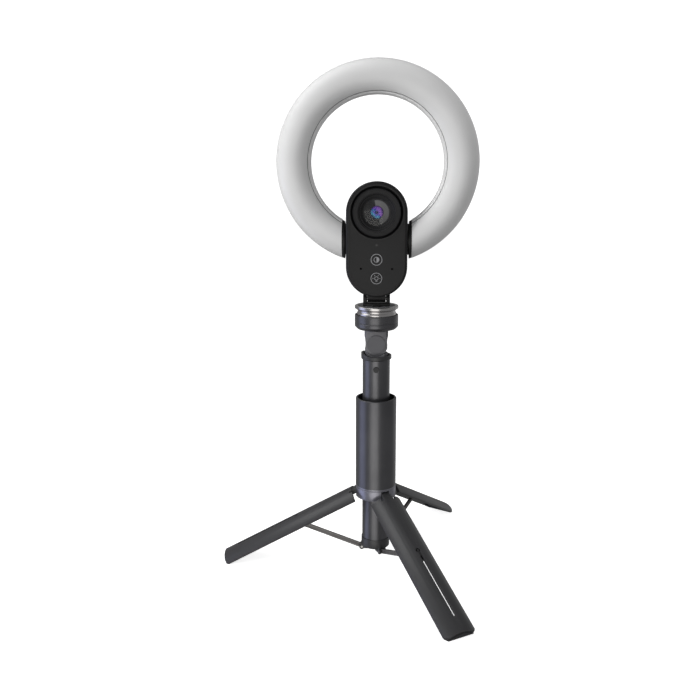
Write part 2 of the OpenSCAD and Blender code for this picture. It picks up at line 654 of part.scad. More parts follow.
module cover_screws() {
  color("#6d6e72") at_mast() for (x = [-1, 1], z = screw_z) translate([x * screw_x, 0, z]) difference() {
    union() { ybar(1.9, cam_y1 - 1.2, cam_y1 - 0.2); ybar(1, 1.2, cam_y1 - 1.1); }
    blk(-1.2, 1.2, cam_y1 - 0.7, cam_y1 + 1, -0.25, 0.25);
    blk(-0.25, 0.25, cam_y1 - 0.7, cam_y1 + 1, -1.2, 1.2);
  }
}

// ---- light ring: a round tube bent into a circle, its bottom cut out for the camera
module torus_cut() {
  // ring axis along Y, open between the two cut planes at the bottom
  translate([0, 0, ring_z]) difference() {
    rotate([-90, 0, 0]) rotate_extrude($fn = 240) children();
    blk(-cut_x, cut_x, -30, 30, -ring_r - 5, 0);
  }
}
module ring_rear() {
  color("#c3c3c4") at_mast() torus_cut() difference() {
    union() {
      difference() {
        translate([tor_c, 0]) circle(r = tor_r);
        translate([tor_c, 0]) circle(r = tor_r - ring_wall);
      }
      intersection() {
        translate([tor_c, 0]) circle(r = tor_r - 0.5);
        union() {
          translate([tor_c - 5.5, part_y + 2.2]) square([1.2, 20]);
          translate([tor_c + 4.3, part_y + 2.2]) square([1.2, 20]);
        }
      }
    }
    translate([0, -40]) square([200, 40 + part_y]);
  }
}
module ring_diffuser() {
  color("#e2e2e2") at_mast() torus_cut() difference() {
    translate([tor_c, 0]) circle(r = tor_r);
    translate([tor_c, 0]) circle(r = tor_r - ring_wall);
    translate([0, part_y]) square([200, 40]);
    // step for the trim hoop
    translate([trim_r - 1, part_y - trim_w]) square([tor_r, 3]);
  }
}
module ring_trim() {
  color("#b4b4b8") at_mast() torus_cut() difference() {
    intersection() {
      translate([tor_c, 0]) circle(r = tor_r + 0.05);
      translate([trim_r - 1, part_y - trim_w]) square([tor_r, trim_w]);
    }
    translate([tor_c, 0]) circle(r = tor_r - ring_wall);
    translate([trim_r - 0.2, part_y - 1.3]) circle(r = 0.35, $fn = 24);
  }
}
module led_board() {
  color("#e6e6e0") at_mast() torus_cut() translate([tor_c - 9, part_y + 1]) square([18, 1.2]);
}
module leds() {
  span = 360 - 2 * (asin(cut_x / tor_c) + 6);
  color("#f2e7a0") at_mast() translate([0, 0, ring_z]) for (k = [0:led_n - 1])
    rotate([0, 180 - span / 2 + k * span / (led_n - 1), 0]) translate([0, 0, -tor_c])
      blk(-1.4, 1.4, part_y + 0.3, part_y + 1, -1.75, 1.75);
}
module ring_ends() {
  color("#19191b") at_mast() for (s = [0, 1]) mirror([s, 0, 0]) union() {
    intersection() {
      translate([0, 0, ring_z]) rotate([-90, 0, 0]) rotate_extrude($fn = 240)
        translate([tor_c, 0]) circle(r = tor_r - 0.2);
      blk(cut_x - collar_t + 0.9, cut_x, -30, 30, ring_z - ring_r, ring_z - 20);
    }
    translate([0, 0, ring_pz]) xbar(tor_r - 1.4, cut_x - collar_t, cut_x - collar_t + 1);
  }
}
module ring_pivots() {
  color("#9b9ba0") at_mast() for (s = [0, 1]) mirror([s, 0, 0]) translate([0, 0, ring_pz]) union() {
    xbar(pivot_r, cam_r - cam_wall - 1.4, cut_x - collar_t);
    xbar(pivot_r + 1.2, cam_r - cam_wall - 1.8, cam_r - cam_wall - 0.4);
  }
}

main_tube();
handle_sleeve();
sleeve_bush();
leg_collar();
leg_hinge_pins();
base_plug();
base_pins();
top_cap();
guide_bush();
lock_button();
button_spring();
leg_left();
leg_front();
leg_back();
foot_left();
foot_front();
foot_back();
strut_left();
strut_front();
strut_back();
shoe_left();
shoe_front();
shoe_back();
mast_section_1();
mast_section_2();
mast_section_3();
mast_section_4();
neck_base();
neck_bolt();
neck_head();
pivot_caps();
lock_collar();
quick_mount();
mount_pad();
quarter_screw();
tilt_bracket();
tilt_pin();
front_cover();
rear_cover();
lens_bezel();
lens_barrel();
lens_glass();
lens_elements();
image_sensor();
main_board();
touch_icons();
status_led();
microphones();
usb_socket();
cover_screws();
ring_rear();
ring_diffuser();
ring_trim();
led_board();
leds();
ring_ends();
ring_pivots();
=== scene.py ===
import json
import math

import bmesh
import bpy
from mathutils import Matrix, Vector


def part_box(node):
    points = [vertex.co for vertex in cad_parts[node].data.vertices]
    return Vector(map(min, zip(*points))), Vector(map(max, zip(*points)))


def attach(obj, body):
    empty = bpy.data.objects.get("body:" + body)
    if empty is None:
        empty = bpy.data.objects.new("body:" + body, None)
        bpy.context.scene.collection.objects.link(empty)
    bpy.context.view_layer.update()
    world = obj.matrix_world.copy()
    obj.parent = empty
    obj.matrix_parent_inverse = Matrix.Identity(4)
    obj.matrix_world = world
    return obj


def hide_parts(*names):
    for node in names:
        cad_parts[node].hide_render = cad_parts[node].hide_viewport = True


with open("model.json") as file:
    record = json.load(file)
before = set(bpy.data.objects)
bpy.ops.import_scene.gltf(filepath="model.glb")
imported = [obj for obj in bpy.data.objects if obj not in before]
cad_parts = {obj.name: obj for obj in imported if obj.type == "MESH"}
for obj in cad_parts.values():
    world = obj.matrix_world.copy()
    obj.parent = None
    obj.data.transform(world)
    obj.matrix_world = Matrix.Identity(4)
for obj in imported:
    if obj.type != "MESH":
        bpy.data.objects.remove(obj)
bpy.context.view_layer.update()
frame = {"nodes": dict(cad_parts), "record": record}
mm = 0.001


def middle(node):
    low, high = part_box(node)
    return (low + high) / 2


mastX = middle("main_tube").x
lensZ = middle("lens_barrel").z
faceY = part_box("front_cover")[0].y  # front plane of the camera
bodies = frame["record"]["behaviour"]["bodies"]
bodyOf = {node: body for body, nodes in bodies.items() for node in nodes}
slotOf = {row["node"]: row["material_slot"] for row in frame["record"]["subparts"]}
print("frame loaded:", len(frame["nodes"]), "nodes")

# camera at table height, a little above the ring's centre
viewpoint = {
    "place": (mastX + 0.00875, -0.58673, 0.30437),
    "tiltDown": 8.77,
    "turnLeft": 2.85,
    "lens": 39.73,
    "sensor": 36,
    "shiftY": -0.0714,
    "nearest": 0.01,
}
cameraData = bpy.data.cameras.new("studioCamera")
cameraData.lens = viewpoint["lens"]
cameraData.sensor_width = viewpoint["sensor"]
cameraData.shift_y = viewpoint["shiftY"]
cameraData.clip_start = viewpoint["nearest"]
studioCamera = bpy.data.objects.new("studioCamera", cameraData)
studioCamera.location = viewpoint["place"]
tilt = math.radians(90 - viewpoint["tiltDown"])
studioCamera.rotation_euler = (tilt, 0, math.radians(viewpoint["turnLeft"]))
bpy.context.scene.collection.objects.link(studioCamera)
bpy.context.scene.camera = studioCamera
bpy.context.scene.view_settings.view_transform = "Standard"
print("camera set")


# colour and node helpers
def linear(hexCode):
    parts = [int(hexCode[i:i + 2], 16) / 255 for i in (1, 3, 5)]
    return [c / 12.92 if c <= 0.04045 else ((c + 0.055) / 1.055) ** 2.4 for c in parts] + [1.0]


def addNode(tree, kind, *values, **settings):
    # values fill the open inputs in order; a setting is a property of the node or the name of an input;
    # a node among them is linked from its first open output
    node = tree.nodes.new(kind)
    for key in [key for key in settings if hasattr(node, key)]:
        setattr(node, key, settings.pop(key))
    plugs = [plug for plug in node.inputs if plug.enabled][:len(values)]
    plugs += [node.inputs[key.replace("_", " ")] for key in settings]
    for plug, value in zip(plugs, list(values) + list(settings.values())):
        if isinstance(value, bpy.types.Node):
            value = next(output for output in value.outputs if output.enabled)
        if isinstance(value, bpy.types.NodeSocket):
            tree.links.new(value, plug)
        else:
            plug.default_value = value
    return node


def startMaterial(name):
    material = bpy.data.materials.new(name)
    material.use_nodes = True
    tree = material.node_tree
    tree.nodes.clear()
    place = addNode(tree, "ShaderNodeTexCoord").outputs["Object"]
    inMm = addNode(tree, "ShaderNodeVectorMath", place, Scale=1 / mm, operation="SCALE")
    return material, tree, inMm


# what a finish has where it doesn't say otherwise; all lengths in mm
usual = {
    "stretch": (1, 1, 1),
    "cloudMm": 24,        # width of the slow mottling
    "edgeMm": 0.35,       # how far in from an edge handling rubs
    "roughSpread": 0.06,
    "leastRough": 0.02,
    "depthMm": 0.03,      # height of the grain
    "metallic": 0.0,
    "sockets": {},
}


# a moulded, coated, rolled or cast skin: fine grain, slow mottling, and edges rubbed by handling
def surface(name, look):
    look = {**usual, **look}
    material, tree, inMm = startMaterial(name)
    stretched = addNode(tree, "ShaderNodeMapping", Vector=inMm, Scale=look["stretch"])
    grain = addNode(tree, "ShaderNodeTexNoise", Vector=stretched, Scale=1 / look["grainMm"],
                    Detail=3.0, Roughness=0.6)
    cloud = addNode(tree, "ShaderNodeTexNoise", Vector=inMm, Scale=1 / look["cloudMm"], Detail=2.0)
    share = addNode(tree, "ShaderNodeMapRange", cloud, 0.35, 0.65, 0.0, 1.0)
    colour = addNode(tree, "ShaderNodeMix", share, linear(look["colour"]), linear(look["shade"]),
                     data_type="RGBA")
    if "rubbed" in look:
        # worn edges show where the rounded normal leaves the true one
        rounded = addNode(tree, "ShaderNodeBevel", samples=4, Radius=look["edgeMm"] * mm)
        true = addNode(tree, "ShaderNodeNewGeometry").outputs["Normal"]
        meet = addNode(tree, "ShaderNodeVectorMath", rounded, true, operation="DOT_PRODUCT")
        edge = addNode(tree, "ShaderNodeMapRange", meet, 0.99, 0.86, 0.0, 1.0)
        patches = addNode(tree, "ShaderNodeMapRange", grain, 0.35, 0.6, 0.25, 1.0)
        worn = addNode(tree, "ShaderNodeMath", edge, patches, operation="MULTIPLY")
        colour = addNode(tree, "ShaderNodeMix", worn, colour, linear(look["rubbed"]),
                         data_type="RGBA")
    smoothest = max(look["roughness"] - look["roughSpread"], look["leastRough"])
    roughest = look["roughness"] + look["roughSpread"]
    roughness = addNode(tree, "ShaderNodeMapRange", grain, 0.3, 0.7, smoothest, roughest)
    bump = addNode(tree, "ShaderNodeBump", Strength=look["bump"], Distance=look["depthMm"] * mm,
                   Height=grain)
    shader = addNode(tree, "ShaderNodeBsdfPrincipled", Base_Color=colour, Roughness=roughness,
                     Normal=bump, Metallic=look["metallic"])
    for socket, value in look["sockets"].items():
        shader.inputs[socket].default_value = value
    addNode(tree, "ShaderNodeOutputMaterial", Surface=shader)
    return material


# each finish is named for the real one, and the remark says what it gives the eye
finishes = {
    # anodised aluminium tube, drawn: dark satin with soft upright highlights and faint draw lines
    "tube_anodised": {
        "colour": "#5e5e61", "shade": "#565659", "rubbed": "#77777c", "roughness": 0.34,
        "roughSpread": 0.05, "metallic": 0.75, "grainMm": 0.5, "stretch": (1, 1, 0.04), "bump": 0.12},
    # glass-filled nylon moulding: dull dark grey with one wide soft highlight
    "leg_plastic": {
        "colour": "#343436", "shade": "#323234", "rubbed": "#4e4e51", "roughness": 0.42,
        "grainMm": 0.35, "bump": 0.25, "sockets": {"IOR": 1.52}},
    # powder-coated die casting: even mid grey with a very fine orange peel
    "neck_metal": {
        "colour": "#67676b", "shade": "#616165", "rubbed": "#838387", "roughness": 0.46,
        "grainMm": 0.5, "bump": 0.3, "metallic": 0.35},
    # silver paint on a zinc casting: pale, slightly blue, with a fine metallic sparkle
    "collar_grey": {
        "colour": "#8e8e96", "shade": "#85858e", "rubbed": "#b4b4ba", "roughness": 0.36,
        "grainMm": 0.25, "metallic": 0.8, "bump": 0.15},
    # turned stainless pins: bright, with lathe lines
    "pin_steel": {
        "colour": "#a8a7a6", "shade": "#979695", "roughness": 0.28, "metallic": 1.0,
        "grainMm": 0.3, "stretch": (1, 0.1, 1), "bump": 0.2},
    # cold-rolled steel strip: warm grey with a dull shine
    "strut_steel": {
        "colour": "#7a7877", "shade": "#716f6e", "rubbed": "#aaa6a2", "roughness": 0.4,
        "metallic": 0.7, "grainMm": 0.6, "stretch": (0.1, 1, 1), "bump": 0.2},
    # black nylon guides: waxy and dull
    "guide_nylon": {
        "colour": "#1d1d1f", "shade": "#242426", "roughness": 0.5, "grainMm": 0.4, "bump": 0.2},
    # thermoplastic rubber feet: almost no shine
    "foot_rubber": {
        "colour": "#2d2d2f", "shade": "#252527", "roughness": 0.75, "grainMm": 0.3, "bump": 0.4},
    # spark-eroded ABS covers: fine matt black texture that turns grey at the rounded rim
    "black_plastic": {
        "colour": "#1d1d1e", "shade": "#1a1a1b", "rubbed": "#262628", "roughness": 0.46,
        "grainMm": 0.22, "bump": 0.3, "depthMm": 0.02, "sockets": {"Specular IOR Level": 0.25}},
    # satin painted ABS collar: smoother than the legs, so its highlight is tighter
    "lock_plastic": {
        "colour": "#58585b", "shade": "#525255", "rubbed": "#626266", "roughness": 0.3,
        "grainMm": 0.4, "bump": 0.12, "metallic": 0.6},
    # painted polycarbonate dish: deep black with a soft even sheen
    "bezel_gloss": {
        "colour": "#1b1b1c", "shade": "#1f1f20", "roughness": 0.4, "grainMm": 0.6, "bump": 0.05,
        "sockets": {"Specular IOR Level": 0.3}},
    # bright nickel-chrome plate over brass: bright and dark upright bands
    "mount_chrome": {
        "colour": "#b9b7b7", "shade": "#b1afb0", "roughness": 0.24, "roughSpread": 0.04,
        "metallic": 1.0, "grainMm": 0.4, "stretch": (1, 1, 0.3), "bump": 0.05},
    # grip pad of foamed rubber: pale grey and dead flat
    "pad_grey": {
        "colour": "#7d7d7f", "shade": "#737375", "roughness": 0.7, "grainMm": 0.3, "bump": 0.4},
    # silicon die under its cover glass: dark violet and mirror smooth
    "sensor": {
        "colour": "#2b2f45", "shade": "#34304f", "roughness": 0.12, "grainMm": 1.0, "bump": 0.02},
    # glass-epoxy board under green solder mask: slightly glossy with a woven mottle
    "board_green": {
        "colour": "#14492c", "shade": "#1b5a36", "roughness": 0.35, "grainMm": 0.8, "bump": 0.2},
    # the same board under white mask: an off-white that throws the light forward
    "board_white": {
        "colour": "#e4e3dc", "shade": "#d9d8d0", "roughness": 0.45, "grainMm": 0.6, "bump": 0.1},
    # phosphor in silicone: pale yellow and waxy
    "led_yellow": {
        "colour": "#efe0a0", "shade": "#e6d38a", "roughness": 0.3, "grainMm": 0.5, "bump": 0.15},
    # pad-printed ink: flat light grey
    "print_grey": {
        "colour": "#9b9b9e", "shade": "#8d8d90", "roughness": 0.55, "grainMm": 0.2, "bump": 0.2},
    # smoked acrylic window: near black and smooth
    "led_window": {
        "colour": "#141416", "shade": "#101012", "roughness": 0.3, "grainMm": 0.5, "bump": 0.02},
    # pressed stainless shell of the socket: bright with a light brushing
    "socket_steel": {
        "colour": "#b3b4b8", "shade": "#a3a4a8", "roughness": 0.25, "metallic": 1.0,
        "grainMm": 0.4, "bump": 0.1},
    # opal polycarbonate diffuser, moulded: even soft white with a faint sheen
    "diffuser_white": {
        "colour": "#eaeaea", "shade": "#e7e7e7", "roughness": 0.38, "roughSpread": 0.03,
        "grainMm": 0.45, "bump": 0.06, "depthMm": 0.015, "sockets": {"Specular IOR Level": 0.25}},
    # painted ABS back shell: a grey-white, a touch rougher than the diffuser
    "shell_white": {
        "colour": "#dededf", "shade": "#dadadb", "roughness": 0.45, "grainMm": 0.4, "bump": 0.1,
        "sockets": {"IOR": 1.5}},
    # painted shade: deep holes behind the face, where no light comes back, in near black
    "sound_hole_painted_shade": {
        "colour": "#050505", "shade": "#070707", "roughness": 0.7, "grainMm": 0.2, "bump": 0.1,
        "sockets": {"Specular IOR Level": 0.0}},
    # clear-coated white hoop along the ring's inner edge: a shade brighter than the shells
    "hoop_white": {
        "colour": "#f4f4f4", "shade": "#eeeeee", "roughness": 0.22, "grainMm": 0.4, "bump": 0.04},
    # pressed caps of the neck's pivot: the same coat as the neck, a little darker
    "pivot_grey": {
        "colour": "#5a5a5e", "shade": "#555559", "roughness": 0.5, "grainMm": 0.5, "bump": 0.3,
        "metallic": 0.3},
    # painted shade: a thin soft grey line put in the gap between hoop and diffuser
    "gap_painted_shade": {
        "colour": "#6c6c6d", "shade": "#666667", "roughness": 0.6, "grainMm": 0.4, "bump": 0.1},
}
materials = {name: surface(name, look) for name, look in finishes.items()}


# coated lens glass: near clear, dark, with sharp reflections; its tint drifts every 4 mm
def glassMaterial():
    material, tree, inMm = startMaterial("lens_glass")
    cloud = addNode(tree, "ShaderNodeTexNoise", Vector=inMm, Scale=1 / 4, Detail=1.0)
    colour = addNode(tree, "ShaderNodeMix", cloud, linear("#14141c"), linear("#101820"),
                     data_type="RGBA")
    shader = addNode(tree, "ShaderNodeBsdfPrincipled", Base_Color=colour, Roughness=0.08, IOR=1.6,
                     Alpha=0.12)
    addNode(tree, "ShaderNodeOutputMaterial", Surface=shader)
    return material


materials["lens_glass"] = glassMaterial()
# the microphones take the near black of painted shade, as in their holes
finishOf = dict(slotOf, microphones="sound_hole_painted_shade", ring_trim="hoop_white", pivot_caps="pivot_grey")
for node, shape in frame["nodes"].items():
    shape.data.materials.clear()
    shape.data.materials.append(materials[finishOf[node]])
    shape.data.polygons.foreach_set("material_index", [0] * len(shape.data.polygons))
print("finishes made:", len(materials))


# pieces
def settle(name, mesh, slotName, body, *nodes, smoothAngle=32, material=None):
    mesh.materials.clear()
    mesh.materials.append(material or materials[slotName])
    mesh.shade_smooth()
    mesh.set_sharp_from_angle(angle=math.radians(smoothAngle))
    piece = bpy.data.objects.new(name, mesh)
    bpy.context.scene.collection.objects.link(piece)
    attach(piece, body)
    if nodes:
        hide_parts(*nodes)
    return piece


# moulded and cast parts have small radii on their edges, in mm, which the frame leaves sharp
edgeRadii = {
    "leg_left": 0.45, "leg_front": 0.45, "leg_back": 0.45,
    "lock_collar": 0.25, "quick_mount": 0.15,
    "neck_head": 0.3, "top_cap": 0.25, "base_plug": 0.3, "leg_collar": 0.3,
    "tilt_bracket": 0.25, "ring_ends": 0.3,
    "strut_left": 0.15, "strut_front": 0.15, "strut_back": 0.15,
    "foot_left": 0.3, "foot_front": 0.3, "foot_back": 0.3,
    "shoe_left": 0.12, "shoe_front": 0.12, "shoe_back": 0.12,
}
rounding = {
    "weldMm": 0.002,
    "flatDegrees": 0.6,    # faces closer to one plane than this are joined first
    "sharpDegrees": 28,    # edges bent by more than this are rounded
    "segments": 2,
}


def softened(node, radius):
    mesh = frame["nodes"][node].data.copy()
    mesh.name = node + "_soft"
    work = bmesh.new()
    work.from_mesh(mesh)
    bmesh.ops.remove_doubles(work, verts=work.verts, dist=rounding["weldMm"] * mm)
    bmesh.ops.dissolve_limit(work, angle_limit=math.radians(rounding["flatDegrees"]),
                             verts=work.verts, edges=work.edges)
    least = math.radians(rounding["sharpDegrees"])
    sharp = [e for e in work.edges if len(e.link_faces) == 2 and e.calc_face_angle(0) > least]
    bmesh.ops.bevel(work, geom=sharp, offset=radius * mm, segments=rounding["segments"], profile=0.5,
                    affect="EDGES", clamp_overlap=True, harden_normals=False)
    work.to_mesh(mesh)
    work.free()
    return settle(node + "_soft", mesh, slotOf[node], bodyOf[node], node)


for node, radius in edgeRadii.items():
    softened(node, radius)
print("edges rounded:", len(edgeRadii))


# turned parts: a closed profile of (radius, depth behind the face) in mm, turned about the lens axis,
# or about other centres given in metres across and up from it
def turnOnce(work, profile, steps, centreX, centreZ):
    rings = []
    for radius, depth in profile:
        y = faceY + depth * mm
        if radius == 0:
            rings.append([work.verts.new((centreX, y, centreZ))])
            continue
        turns = [2 * math.pi * k / steps for k in range(steps)]
        rings.append([
            work.verts.new((centreX + radius * mm * math.sin(t), y, centreZ + radius * mm * math.cos(t)))
            for t in turns])
    for first, second in zip(rings, rings[1:] + rings[:1]):
        if len(first) == 1 and len(second) == 1:
            continue
        for k in range(steps):
            after = (k + 1) % steps
            if len(first) == 1:
                work.faces.new((first[0], second[k], second[after]))
            elif len(second) == 1:
                work.faces.new((first[after], first[k], second[0]))
            else:
                work.faces.new((first[k], second[k], second[after], first[after]))


def turnedMesh(name, profile, steps=128, centres=((0, 0),)):
    mesh = bpy.data.meshes.new(name)
    work = bmesh.new()
    for across, up in centres:
        turnOnce(work, profile, steps, mastX + across, lensZ + up)
    bmesh.ops.recalc_face_normals(work, faces=work.faces)
    work.to_mesh(mesh)
    work.free()
    return mesh


def sag(radius, sphere):
    return sphere - math.sqrt(sphere * sphere - radius * radius)


# front glass: a thin domed shell
glass = {
    "radius": 10.66,
    "domeRadius": 40.0,
    "thick": 0.35,
    "depth": 0.1,
    "steps": 14,
}
glassRadii = [glass["radius"] * k / glass["steps"] for k in range(glass["steps"] + 1)]
front = [(r, glass["depth"] + sag(r, glass["domeRadius"])) for r in glassRadii]
back = [(r, glass["depth"] + glass["thick"] + sag(r, glass["domeRadius"])) for r in reversed(glassRadii)]
glassMesh = turnedMesh("lens_glass_front", front + back)
frontGlass = settle("lens_glass_front", glassMesh, "lens_glass", "camera", "lens_glass")
frontGlass.visible_shadow = False

# blackened baffle behind the glass: fine steps, with a pale painted reflection on one side
baffle = {
    "black": "#171718",
    "sheen": "#6f6f6f",
    "paintedReflectionStart": (-13.0, -9.0),  # degrees from straight up, clockwise from the front, where it comes in
    "sheenEnd": (158.0, 166.0),   # and where it goes out
    "paintedReflectionFade": 0.55,            # how much of it is left towards its end
    "paintedReflectionRadii": (8.9, 9.3),     # mm, where it stops short of the rim
    "glow": 0.2,                  # painted glow: the painted reflection gives off light, though it is no lamp
    "rim": (10.45, 1.93),
    "steps": 6,
    "firstRadius": 9.9,
    "stepWidth": 0.95,
    "stepDrop": 0.12,
    "chamfer": (0.12, 0.1),
    "behind": [(5.0, 2.62), (5.0, 2.9), (8.5, 2.9), (8.5, 1.97), (10.45, 1.97)],
}


def baffleMaterial():
    material, tree, inMm = startMaterial("anodised_baffle_painted_reflection")
    split = addNode(tree, "ShaderNodeSeparateXYZ", inMm).outputs
    across = addNode(tree, "ShaderNodeMath", split[0], mastX / mm, operation="SUBTRACT")
    up = addNode(tree, "ShaderNodeMath", split[2], lensZ / mm, operation="SUBTRACT")
    turn = addNode(tree, "ShaderNodeMath", across, up, operation="ARCTAN2")
    degrees = addNode(tree, "ShaderNodeMath", turn, 180 / math.pi, operation="MULTIPLY")
    # painted reflection: a pale sector from near straight up round the right side to near the bottom,
    # fading towards its end and stopping short of the rim
    start = addNode(tree, "ShaderNodeMapRange", degrees, *baffle["paintedReflectionStart"], 0.0, 1.0)
    end = addNode(tree, "ShaderNodeMapRange", degrees, *baffle["sheenEnd"], 1.0, 0.0)
    acrossSquared = addNode(tree, "ShaderNodeMath", across, across, operation="MULTIPLY")
    upSquared = addNode(tree, "ShaderNodeMath", up, up, operation="MULTIPLY")
    radiusSquared = addNode(tree, "ShaderNodeMath", acrossSquared, upSquared, operation="ADD")
    limits = [radius ** 2 for radius in baffle["paintedReflectionRadii"]]
    inner = addNode(tree, "ShaderNodeMapRange", radiusSquared, *limits, 1.0, 0.0)
    sector = addNode(tree, "ShaderNodeMath", start, end, operation="MULTIPLY")
    sheen = addNode(tree, "ShaderNodeMath", sector, inner, operation="MULTIPLY")
    fade = addNode(tree, "ShaderNodeMapRange", degrees, -10.0, 160.0, 1.0, baffle["paintedReflectionFade"])
    amount = addNode(tree, "ShaderNodeMath", sheen, fade, operation="MULTIPLY")
    colour = addNode(tree, "ShaderNodeMix", amount, linear(baffle["black"]), linear(baffle["sheen"]),
                     data_type="RGBA")
    grain = addNode(tree, "ShaderNodeTexNoise", Vector=inMm, Scale=3.0, Detail=2.0)
    roughness = addNode(tree, "ShaderNodeMapRange", grain, 0.3, 0.7, 0.4, 0.55)
    # painted glow of the painted reflection
    glow = addNode(tree, "ShaderNodeMath", amount, baffle["glow"], operation="MULTIPLY")
    shader = addNode(tree, "ShaderNodeBsdfPrincipled", Base_Color=colour, Roughness=roughness,
                     Emission_Color=colour, Emission_Strength=glow)
    addNode(tree, "ShaderNodeOutputMaterial", Surface=shader)
    return material


baffleProfile = [baffle["rim"]]
for k in range(baffle["steps"]):
    radius = baffle["firstRadius"] - k * baffle["stepWidth"]
    depth = baffle["rim"][1] + max(0, k - 1) * baffle["stepDrop"]
    baffleProfile += [(radius, depth), (radius - baffle["chamfer"][0], depth + baffle["chamfer"][1])]
baffleMesh = turnedMesh("lens_baffle", baffleProfile + baffle["behind"])
settle("lens_baffle", baffleMesh, "lens_glass", "camera", smoothAngle=20, material=baffleMaterial())

# coated inner element under magnesium fluoride layers: its violet, blue and cyan are a painted
# reflection, which glows
element = {
    "radius": 4.9,
    "domeRadius": 9.0,
    "flatten": 0.6,
    "depth": 1.75,
    "backDepth": 3.3,
    "steps": 10,
    "glow": 0.55,         # painted glow: the painted reflection gives off light from inside the lens, though it is no lamp
    "black": "#12121c",
    "pupil": (0.9, 1.7),  # mm from the axis, where the dark middle goes over into the colours
    "paintedReflectionColours": [
        (0.12, "#173c55"), (0.3, "#2e7f9d"), (0.42, "#2a3c86"),
        (0.55, "#4b3b96"), (0.68, "#8a5cae"), (0.85, "#5b3f86")],
}


def coatingPaintedReflection():
    material, tree, inMm = startMaterial("coated_element_painted_reflection")
    axis = (mastX / mm, 0, lensZ / mm)
    # painted reflection: cyan at the lower left to violet at the upper right, swirled, going to black in
    # the middle and towards the rim
    centred = addNode(tree, "ShaderNodeVectorMath", inMm, axis, operation="SUBTRACT")
    flat = addNode(tree, "ShaderNodeVectorMath", centred, (1, 0, 1), operation="MULTIPLY")
    swirl = addNode(tree, "ShaderNodeTexNoise", Vector=flat, Scale=0.42, Detail=2.0, Distortion=1.2)
    split = addNode(tree, "ShaderNodeSeparateXYZ", flat).outputs
    diagonal = addNode(tree, "ShaderNodeMath", split[0], split[2], operation="ADD")
    slope = addNode(tree, "ShaderNodeMapRange", diagonal, -5.0, 5.0, -0.32, 0.32)
    mixed = addNode(tree, "ShaderNodeMath", slope, swirl, operation="ADD")
    ramp = addNode(tree, "ShaderNodeValToRGB", mixed)
    stops = ramp.color_ramp.elements
    while len(stops) < len(element["paintedReflectionColours"]):
        stops.new(0.5)
    for stop, (spot, hexCode) in zip(stops, element["paintedReflectionColours"]):
        stop.position = spot
        stop.color = linear(hexCode)
    length = addNode(tree, "ShaderNodeVectorMath", flat, operation="LENGTH")
    pupil = addNode(tree, "ShaderNodeMapRange", length, *element["pupil"], 0.85, 0.0)
    rim = addNode(tree, "ShaderNodeMapRange", length, 3.7, element["radius"], 0.0, 0.9)
    dark = addNode(tree, "ShaderNodeMath", pupil, rim, operation="MAXIMUM")
    colour = addNode(tree, "ShaderNodeMix", dark, ramp, linear(element["black"]), data_type="RGBA")
    roughness = addNode(tree, "ShaderNodeMapRange", swirl, 0.3, 0.7, 0.3, 0.4)
    shader = addNode(tree, "ShaderNodeBsdfPrincipled", Base_Color=colour, Metallic=0.3,
                     Roughness=roughness, Emission_Color=colour, Emission_Strength=element["glow"])
    addNode(tree, "ShaderNodeOutputMaterial", Surface=shader)
    return material


elementRadii = [element["radius"] * k / element["steps"] for k in range(element["steps"] + 1)]
elementProfile = [
    (r, element["depth"] + sag(r, element["domeRadius"]) * element["flatten"]) for r in elementRadii]
elementProfile += [(element["radius"], element["backDepth"]), (0, element["backDepth"])]
settle("lens_core", turnedMesh("lens_core", elementProfile), "lens_glass", "camera",
       material=coatingPaintedReflection())

# microphone mouths: cups with a small lip, just below the face, black with painted shade
mouthProfile = [(0, 0.7), (0.5, 0.7), (0.55, 0.18), (0.62, 0.1), (0.74, 0.1), (0.74, 0.9), (0, 0.9)]
micLow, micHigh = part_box("microphones")
micAcross = (micHigh.x - micLow.x) / 2 - (micHigh.z - micLow.z) / 2
micUp = (micLow.z + micHigh.z) / 2 - lensZ
mouthMesh = turnedMesh("microphone_mouths", mouthProfile, steps=32,
                       centres=((-micAcross, micUp), (micAcross, micUp)))
settle("microphone_mouths", mouthMesh, "black_plastic", "camera", material=materials["sound_hole_painted_shade"])

# barrel front: a flat satin ring with fine turned lines between a stepped lip and a rounded rim
barrel = {
    "lip": [
        (10.7, 0.4), (11.2, 0.05), (11.45, -0.05), (12.1, -0.5), (12.25, -0.55), (12.3, -0.35),
        (12.5, -0.35), (12.55, -0.75), (13.5, -1.35), (13.6, -1.15), (13.8, -1.15), (13.9, -1.75)],
    "lines": 5,
    "firstLine": 14.1,
    "linePitch": 0.62,
    "line": [(0, -1.95), (0.4, -1.97), (0.45, -1.9), (0.57, -1.9)],
    "rim": [(17.25, -2.0), (17.4, -2.2), (17.55, -2.15), (17.7, -1.9)],
    "behind": [(17.7, 9.0), (4.0, 9.0), (4.0, 7.4), (8.7, 7.4), (8.7, 2.0), (10.7, 2.0)],
}
barrelProfile = list(barrel["lip"])
for k in range(barrel["lines"]):
    edge = barrel["firstLine"] + k * barrel["linePitch"]
    barrelProfile += [(edge + out, depth) for out, depth in barrel["line"]]
barrelMesh = turnedMesh("lens_barrel_turned", barrelProfile + barrel["rim"] + barrel["behind"])
settle("lens_barrel_turned", barrelMesh, "black_plastic", "camera", "lens_barrel", smoothAngle=24)
print("lens built")

